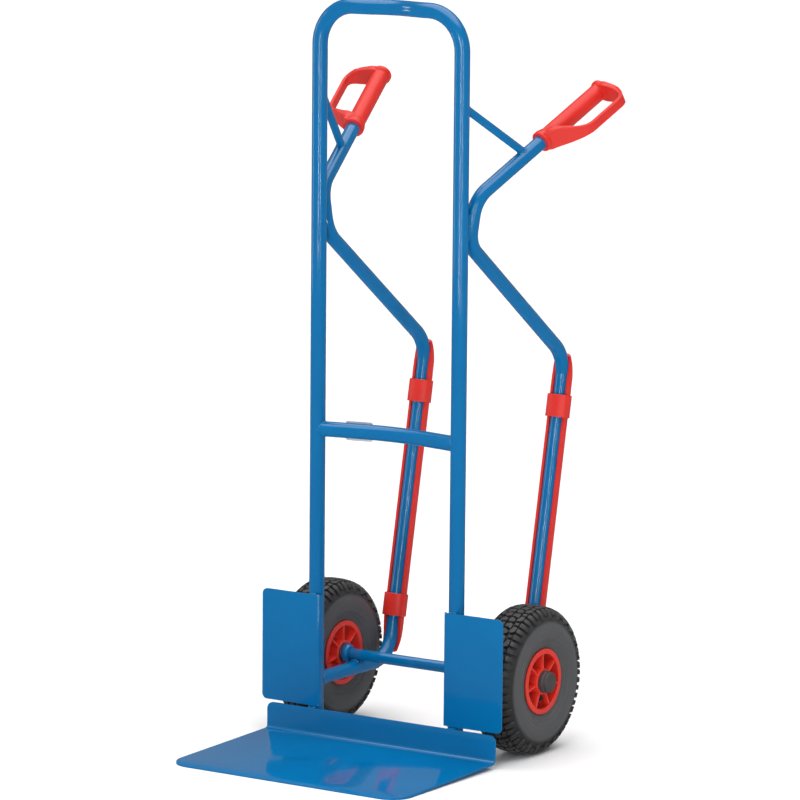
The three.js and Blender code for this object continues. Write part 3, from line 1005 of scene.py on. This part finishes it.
# one rounded skin round overlapping closed shapes
def fused(piece, voxel, soften):
    melt = piece.modifiers.new("melt", "REMESH")
    melt.mode = "VOXEL"
    melt.voxel_size = voxel * mm
    smooth = piece.modifiers.new("smooth", "SMOOTH")
    smooth.factor = 0.5
    smooth.iterations = soften
    depsgraph = bpy.context.evaluated_depsgraph_get()
    skin = bpy.data.meshes.new_from_object(piece.evaluated_get(depsgraph))
    piece.modifiers.clear()
    for face in skin.polygons:
        face.use_smooth = True
    piece.data = skin


for hand, side in hands.items():
    handGrip = makePiece(
        "handGrip." + hand,
        gripShape(),
        "red_plastic",
        replaced=["hand_grip_" + hand],
        side=side,
    )
    fused(handGrip, grip["voxel"], grip["soften"])
print("grips moulded")

# stair skids and their clips: channels along the skid run
skidForm = {"half": 18, "wall": 5.1, "lip": 6.3, "shoulder": 0, "depth": 18, "steps": 18}
clipForm = {"half": 20.9, "wall": 2.6, "lip": 6, "shoulder": 7, "depth": 11, "steps": 18}
clipPlan = {
    "length": 40,
    "heights": {"upper": 579, "lower": 201},
    "tab": (3.2, 9, 5),  # wide, deep, tall
    "tabDrop": 0.35,  # share of its height that the tab stands below the clip's top edge
    "tabInset": 0.6,
}
# the skid starts and ends part of the way round the tube's bends, and its lips taper off there
skidEnds = {
    "lowTaper": 64,
    "highTaper": 42,
    "cutBack": 15,
    "lowBend": 0.6,
    "highBend": 0.56,
    "station": 6,
}
steepest = 0.98  # sine at which a cut-back channel stops getting shallower
sliver = 0.01  # keeps a lip's points apart


# a U seen along the tube: the open side is at positive y, and a negative lip leaves only its back
def channel(form, cutBack=0):
    lip = form["lip"] - cutBack
    sides = []
    for half, depth in (
        (form["half"] - form["wall"], form["depth"] - form["wall"]),
        (form["half"], form["depth"]),
    ):
        low = min(lip, -form["shoulder"])
        start = math.asin(min(max((-low - form["shoulder"]) / depth, 0), steepest))
        arc = []
        for i in range(form["steps"] + 1):
            a = start + (math.pi - 2 * start) * i / form["steps"]
            arc.append((-half * math.cos(a), -depth * math.sin(a) - form["shoulder"]))
        lipLine = max(lip, low)
        lipEnd = lipLine + sliver
        sides.append([(arc[0][0], lipEnd), *arc, (arc[-1][0], lipEnd)])
    inner, outer = sides
    return [*inner, *reversed(outer)]


def channelShape(points, outlineAt):
    tangents = directions(points, False)
    right = Vector((1, 0, 0))
    rings = []
    for i, (point, along) in enumerate(zip(points, tangents)):
        forward = right.cross(along)
        rings.append([point + right * a + forward * b for a, b in outlineAt(i)])
    return skinned(rings)


def skidShape():
    path = sidePath()
    steps = sideRun["bendSteps"]
    lowBend = 1 + round(skidEnds["lowBend"] * steps)
    highBend = 2 + steps + round(skidEnds["highBend"] * steps)
    run = path[lowBend : highBend + 1]
    fine = [run[0]]
    for a, b in zip(run, run[1:]):
        count = max(1, round((b - a).length / skidEnds["station"]))
        fine += [a.lerp(b, k / count) for k in range(1, count + 1)]
    lengths = [0]
    for a, b in zip(fine, fine[1:]):
        lengths.append(lengths[-1] + (b - a).length)

    def outlineAt(i):
        fromLow = lengths[i] / skidEnds["lowTaper"]
        fromHigh = (lengths[-1] - lengths[i]) / skidEnds["highTaper"]
        share = 1 - min(fromLow, fromHigh, 1)
        return channel(skidForm, skidEnds["cutBack"] * share**2)

    return channelShape(fine, outlineAt)


def skidAxis(height):
    y = sideRun["lowY"] + (height - sideRun["footZ"]) * sideRun["lean"]
    return Vector((tubes["uprightX"], y, height))


def clipShape(height, side):
    along = Vector((0, sideRun["lean"], 1)).normalized()
    middle = skidAxis(height)
    half = clipPlan["length"] / 2
    ends = [middle + along * half, middle - along * half]
    band = channelShape(ends, lambda i: channel(clipForm))
    # the snap tab stands on the same hand of every clip, so it is not mirrored with the rest
    wide, deep, tall = clipPlan["tab"]
    front = along.cross(Vector((1, 0, 0)))
    inwards = Vector((-side * (clipForm["half"] - clipPlan["tabInset"]), 0, 0))
    corner = middle + along * (half - tall * clipPlan["tabDrop"]) + inwards
    rings = []
    for k in (-0.5, 0.5):
        base = corner + along * tall * k
        x = Vector((wide / 2, 0, 0))
        y = front * deep / 2
        rings.append([base - x - y, base + x - y, base + x + y, base - x + y])
    return joined(band, skinned(rings))


for hand, side in hands.items():
    makePiece(
        "stairSkid." + hand,
        skidShape(),
        "red_plastic",
        replaced=["skid_" + hand],
        side=side,
        edge={"width": 1.0, "steps": 3, "over": 48},
    )
    for level, height in clipPlan["heights"].items():
        makePiece(
            "skidClip." + level + "." + hand,
            clipShape(height, side),
            "red_plastic",
            replaced=["skid_clip_" + level + "_" + hand],
            side=side,
            edge={"width": 0.7, "steps": 3, "over": 48},
        )
print("skids and clips moulded")

# the middle of the right wheel
wheelPlace = Vector((209, tubes["axleY"], tubes["axleZ"]))


def onAxle(shape):
    return moved(shape, lambda p: p + wheelPlace)


# one bar through both wheels
axle = {"end": 253, "edge": 1.5, "sides": 48}
axleRadius = tubes["axleRadius"]
axleLine = Vector((0, tubes["axleY"], tubes["axleZ"]))
axleProfile = roundedProfile(
    [(0, -axle["end"]), (axleRadius, -axle["end"]), (axleRadius, axle["end"]), (0, axle["end"])],
    [0, axle["edge"], axle["edge"], 0],
)
makePiece(
    "axleBar",
    moved(turned(axleProfile, axle["sides"]), lambda p: p + axleLine),
    "frame_paint",
    replaced=["axle"],
)
# outlines as (radius, distance from the middle of the wheel), with the radius of each corner
axleCollar = {
    "outline": [(10.2, -50), (13.6, -50), (16.5, -46), (16.5, -39.1), (10.2, -39.1)],
    "radii": [0.3, 2, 3, 2.2, 0.3],
    "steps": 5,
    "sides": 48,
}
hubCap = {
    "outline": [(0, 37), (19.6, 37), (19.6, 43.6), (17.9, 44.8), (17.6, 51), (0, 51)],
    "radii": [0, 0.6, 1.4, 0.8, 2.2, 0],
    "steps": 5,
    "sides": 56,
}


def turnedPart(part):
    return turned(roundedProfile(part["outline"], part["radii"], part["steps"]), part["sides"])


for hand, side in hands.items():
    makePiece(
        "axleCollar." + hand,
        onAxle(turnedPart(axleCollar)),
        "frame_paint",
        replaced=["axle_collar_" + hand],
        side=side,
    )
    makePiece(
        "hubCap." + hand,
        onAxle(turnedPart(hubCap)),
        "grey_plastic",
        replaced=["hub_cap_" + hand],
        side=side,
    )

# rim: two moulded halves, each a ring and a hub joined by seven thin spokes
rim = {
    "split": 0.2,  # each half starts this far from the middle of the wheel
    "face": 36,
    "radius": 57.5,
    "lip": 3,
    "inside": 48.2,
    "insideStep": (2.2, 3.4),  # depths at which the inner edge steps out to the barrel
    "barrel": 53.7,
    "barrelEnd": 31.5,
    "barrelInside": 50.6,
    "hub": 22.5,
    "hubProud": 0.4,
    "bore": 18.3,
    "spokes": 7,
    "spokeDeep": 15,
    "spokeDeeper": 2,  # added to the depth at the hub
    "spokeSunk": 1.2,
    "spokeEdge": 0.7,
    "spokeAt": ((21, 3.6), (36, 2.8), (51, 3.4)),  # distance from the axle, thickness
    "ringSides": 96,
    "hubSides": 64,
}


def rimShape(facing):
    face, radius, barrel, bore = rim["face"], rim["radius"], rim["barrel"], rim["bore"]
    split, hubFace = rim["split"], rim["face"] + rim["hubProud"]
    shallow, deep = rim["insideStep"]
    ringProfile = [
        (barrel, split),
        (barrel, rim["barrelEnd"]),
        (radius, face - rim["lip"]),
        (radius, face),
        (rim["inside"], face),
        (rim["inside"], face - shallow),
        (rim["barrelInside"], face - deep),
        (rim["barrelInside"], split),
    ]
    ringRadii = [0.3, 2.5, 0.8, 1.1, 0.9, 0.8, 1, 0.3]
    hubProfile = [(bore, split), (rim["hub"], split), (rim["hub"], hubFace), (bore, hubFace)]
    hubRadii = [0.3, 0.3, 1, 0.6]
    shapes = [
        turned(roundedProfile(ringProfile, ringRadii, 4), rim["ringSides"]),
        turned(roundedProfile(hubProfile, hubRadii, 3), rim["hubSides"]),
    ]
    front = face - rim["spokeSunk"]
    edge = rim["spokeEdge"]
    for i in range(rim["spokes"]):
        turn = Matrix.Rotation(-2 * math.pi * i / rim["spokes"], 3, "X")
        rings = []
        for height, thick in rim["spokeAt"]:
            atHub = height < rim["hub"]
            back = front - rim["spokeDeep"] - (rim["spokeDeeper"] if atHub else 0)
            side = thick / 2
            corners = [(back, -side, 0), (front, -side, 0), (front, side, 0), (back, side, 0)]
            ring = rounded(corners, [0, edge, edge, 0], 3, closed=True)
            rings.append([turn @ Vector((p.x, p.y, height)) for p in ring])
        shapes.append(skinned(rings))
    return moved(joined(*shapes), lambda p: Vector((p.x * facing, p.y, p.z)))


# tyre: a hollow casing with a block tread
tyre = {
    "sides": 144,
    "periods": 28,  # times the tread repeats round the tyre
    "treadRadius": 128,
    "groove": 5.2,
    "root": 1.2,  # how far the blocks go on below the groove, into the casing
    "ease": 0.9,  # how strongly the block's edges are drawn in, times the figures below
    # depth below a block's top, and how much narrower the block is there
    "blockEdge": ((0.5, 0.3), (0, 0.9)),
    "slopeReach": 0.5,  # how far to each side the slope of the crown is read
    "bend": 1.1,
    "bendSteps": 3,
}
# outer skin under the tread, then the side wall with its moulded rings, down to the bead
tyreCrown = [(124.4, 0), (123.4, 14), (120.4, 26), (115.4, 33), (110.6, 36.6), (106.4, 39.4)]
tyreWall = [
    (103.2, 39.6),
    (101.8, 40.9),
    (100.6, 40.6),
    (96, 42),
    (90, 42.5),
    (83, 42.2),
    (77.5, 40.9),
    (76, 41.1),
    (74.6, 39.8),
    (70, 37.2),
    (68.4, 37.3),
    (67, 35.7),
    (63, 34),
    (59.4, 33.2),
    (58.2, 32.2),
    (54.3, 31.6),
]
tyreInside = [(54.3, 24.5), (63, 32.5), (88, 36.5), (110, 33.5), (119, 20), (121.5, 0)]
# tops of the blocks: distance from the middle of the tyre, radius there
treadTop = [(0, 130), (10, 129.8), (20, 128.8), (28, 126.4), (34, 122), (38.5, 115.4), (41.2, 107)]
# blocks of one repeat: a wing beside the middle cut in two by a slanting sipe, the row outside
# it, and two shoulder lugs, the second longer; each station is how far across the tyre it is
# and where the block starts and ends round the tyre
treadBlocks = [
    [(1.2, -6, 3.5), (6, -8.5, 4.5), (10, -8, 2), (13.5, -5.5, -1)],
    [(2.0, 6.5, 15.5), (7, 7.5, 17.5), (11, 6, 18), (15, 4, 15)],
    [(16, -3.5, 1.5), (19, -4.5, 10), (23, -2.5, 11.5), (25.5, 1, 10.5)],
    [(17.5, 14, 19), (21, 13.5, 20.5), (24.5, 14.5, 21.5)],
    [(27.5, 0, 9), (31, -0.6, 9.4), (34.5, -0.2, 9), (37.4, 0.8, 8)],
    [(27, 14, 23.4), (31, 13.6, 24.2), (35, 14, 24), (38.4, 14.6, 23.4), (40.2, 15.4, 22.6)],
]


def crownAt(across):
    for (a, high), (b, low) in zip(treadTop, treadTop[1:]):
        if across <= b:
            return high + (low - high) * (across - a) / (b - a)
    return treadTop[-1][1]


def treadBlock(stations, side, at):
    rings = []
    root = (tyre["groove"] + tyre["root"], 0)
    startSide = [root, *tyre["blockEdge"]]
    near = tyre["slopeReach"]
    for across, start, end in stations:
        top = crownAt(across)
        slope = (crownAt(across + near) - crownAt(max(across - near, 0))) / (near + min(across, near))
        normal = Vector((-slope, 1)).normalized()
        ring = []
        for edge, way in ((start, 1), (end, -1)):
            for deep, squeeze in startSide[::way]:
                along = edge + way * squeeze * tyre["ease"]
                ring.append((across - normal.x * deep, top - normal.y * deep, along))
        points = []
        for x, r, along in ring:
            a = (at + along) / tyre["treadRadius"]
            points.append(Vector((side * x, r * math.sin(a), r * math.cos(a))))
        rings.append(points)
    return skinned(rings)


def tyreShape():
    crown, *wall = [*tyreCrown, *tyreWall]
    bent = rounded([(r, x, 0) for r, x in wall], tyre["bend"], tyre["bendSteps"])
    right = [(crown[0], 0), *[(p.x, p.y) for p in bent], *tyreInside[:-1]]
    left = [(r, -x) for r, x in reversed(right) if x > 0]
    shapes = [turned([*right, tyreInside[-1], *left], tyre["sides"])]
    pitch = 2 * math.pi * tyre["treadRadius"] / tyre["periods"]
    for side in (-1, 1):
        for k in range(tyre["periods"]):
            at = (k + (0.5 if side < 0 else 0)) * pitch
            shapes += [treadBlock(stations, side, at) for stations in treadBlocks]
    return joined(*shapes)


# black rubber boot over the valve stem, bent to the outside of the wheel, with its screw cap
stem = {
    "root": 6,
    "bend": (0, 0, -44.5),
    "bendRadius": 8,
    "cap": (29, 0, -31),
    "boot": 3.6,
    "screwCap": 3.9,
    "capLength": 9,
    "capOverlap": 0.6,  # share of the cap that is pushed over the stem
    "capOutline": [(0, 0.9), (0.06, 1), (0.94, 1), (1, 0.86)],  # share of length, of radius
}


def valveShape():
    bend, cap = Vector(stem["bend"]), Vector(stem["cap"])
    root = bend - Vector((0, 0, stem["root"]))
    path = rounded([root, bend, cap], [0, stem["bendRadius"], 0], 8)
    outward = (cap - bend).normalized()
    boot = skinned(ringsAlong(path, lambda i: circle(stem["boot"], 20)))
    start = cap - outward * stem["capLength"] * stem["capOverlap"]
    steps = stem["capOutline"]
    line = [start + outward * stem["capLength"] * step[0] for step in steps]
    screwCap = skinned(ringsAlong(line, lambda i: circle(stem["screwCap"] * steps[i][1], 24)))
    return joined(boot, screwCap)


for hand, side in hands.items():
    body = "wheel_" + hand
    makePiece(
        "tyre." + hand,
        onAxle(tyreShape()),
        "tyre_rubber",
        body,
        ["tyre_" + hand],
        side,
        sharp=45,
    )
    for half, facing in (("outer", 1), ("inner", -1)):
        makePiece(
            "rim." + half + "." + hand,
            onAxle(rimShape(facing)),
            "rim_plastic",
            body,
            ["rim_" + half + "_" + hand],
            side,
        )
    makePiece(
        "valveStem." + hand,
        onAxle(valveShape()),
        "tube_rubber",
        body,
        side=side,
    )
print("wheels built")

# blank rating label on a thin backing plate
label = {"x": -78, "wide": 50, "tall": 34, "thick": 1, "corner": 3, "drop": 2.5}


def labelShape():
    slope = crossBar["bow"] / tubes["uprightX"]
    away = tubes["mainRadius"] + gap + label["thick"] / 2
    rear = (tubes["uprightX"] + label["x"]) * slope + away * math.hypot(1, slope)
    turn = Matrix.Rotation(math.atan(slope), 3, "Z")
    x, z = label["wide"] / 2, label["tall"] / 2
    corners = [(-x, -z, 0), (x, -z, 0), (x, z, 0), (-x, z, 0)]
    outline = rounded(corners, label["corner"], 6, closed=True)
    middle = Vector((label["x"], rear, crossBar["height"] - label["drop"]))
    rings = []
    for y in (-label["thick"] / 2, label["thick"] / 2):
        rings.append([middle + turn @ Vector((p.x, y, p.y)) for p in outline])
    return skinned(rings)


makePiece(
    "ratingPlate",
    labelShape(),
    "rating_label",
    replaced=["rating_plate"],
    edge={"width": 0.25, "steps": 2},
)

# floor, light and camera, in metres
studio = {
    "floorSize": 160,
    "floorColour": "#f4f4f4",
    "floorRoughness": 0.9,
    "floorSpecular": 0.1,
    # sky radiance by height: dark round the horizon, so that the paint keeps its depth
    "sky": {"low": 0.68, "lowRadiance": 0.22, "high": 0.84, "highRadiance": 2.7},
    # each lamp has its place, its size across and up, and its power in watts
    "lamps": {
        "leftStrip": ((0.9, -2.9, 1.15), (0.035, 2.3), 17),
        "middleStrip": ((1.35, -2.75, 1.15), (0.02, 2.3), 8),
        "rightStrip": ((2.35, -1.95, 1.15), (0.035, 2.3), 15),
        "sideStrip": ((-3.2, -1.2, 1.3), (0.3, 2.4), 12),
    },
    "aim": (0, 0, 1.15),
}
floorMesh = bpy.data.meshes.new("studioFloor")
reach = studio["floorSize"] / 2
floorCorners = [(-reach, -reach, 0), (reach, -reach, 0), (reach, reach, 0), (-reach, reach, 0)]
floorMesh.from_pydata(floorCorners, [], [(0, 1, 2, 3)])
floor = bpy.data.objects.new("studioFloor", floorMesh)
bpy.context.scene.collection.objects.link(floor)
floorPaint = bpy.data.materials.new("matt white studio floor")
floorPaint.use_nodes = True
floorShader = floorPaint.node_tree.nodes["Principled BSDF"]
floorShader.inputs["Base Color"].default_value = linear(studio["floorColour"])
floorShader.inputs["Roughness"].default_value = studio["floorRoughness"]
floorShader.inputs["Specular IOR Level"].default_value = studio["floorSpecular"]
floorMesh.materials.append(floorPaint)
floor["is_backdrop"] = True

world = bpy.data.worlds.new("studioSky")
bpy.context.scene.world = world
world.use_nodes = True
skyTree = world.node_tree
direction = addNode(skyTree, "ShaderNodeTexCoord").outputs["Generated"]
upwards = addNode(skyTree, "ShaderNodeSeparateXYZ", links={"Vector": direction}).outputs["Z"]
ramp = addNode(
    skyTree,
    "ShaderNodeMapRange",
    {
        "From Min": studio["sky"]["low"],
        "From Max": studio["sky"]["high"],
        "To Min": studio["sky"]["lowRadiance"],
        "To Max": studio["sky"]["highRadiance"],
    },
    {"Value": upwards},
)
skyTree.links.new(ramp.outputs["Result"], skyTree.nodes["Background"].inputs["Strength"])
skyTree.nodes["Background"].inputs["Color"].default_value = (1, 1, 1, 1)
floor.visible_glossy = False  # the paint reflects the studio's dark walls, not the white floor

aim = Vector(studio["aim"])
for name, (place, size, power) in studio["lamps"].items():
    lamp = bpy.data.lights.new(name, "AREA")
    lamp.shape = "RECTANGLE"
    lamp.size, lamp.size_y = size
    lamp.energy = power
    holder = bpy.data.objects.new(name, lamp)
    holder.location = place
    holder.rotation_euler = (aim - Vector(place)).to_track_quat("-Z", "Y").to_euler()
    holder.visible_camera = False
    bpy.context.scene.collection.objects.link(holder)

# a long lens from the front right, a little above the top bar, turned half a degree about its axis
view = {
    "place": (4.74166, -7.08228, 1.9395),
    "right": (0.83094057, 0.55629454, 0.0086111),
    "up": (-0.09263399, 0.12307332, 0.98806473),
    "back": (0.54859521, -0.82182075, 0.1537984),
    "lens": 225,
    "sensor": 36,
    "shift": (-0.000625, 0.000625),
    "clip": (0.1, 300),
}
lens = bpy.data.cameras.new("studioCamera")
lens.lens = view["lens"]
lens.sensor_width = view["sensor"]
lens.shift_x, lens.shift_y = view["shift"]
lens.clip_start, lens.clip_end = view["clip"]
camera = bpy.data.objects.new("studioCamera", lens)
turn = Matrix((view["right"], view["up"], view["back"])).transposed()
camera.matrix_world = Matrix.Translation(view["place"]) @ turn.to_4x4()
bpy.context.scene.collection.objects.link(camera)
bpy.context.scene.camera = camera
bpy.context.scene.view_settings.view_transform = "Standard"
print("studio lit")

size = {
    "cad": [list(corner) for corner in cadBounds],
    "visual": [list(corner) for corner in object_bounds()],
}
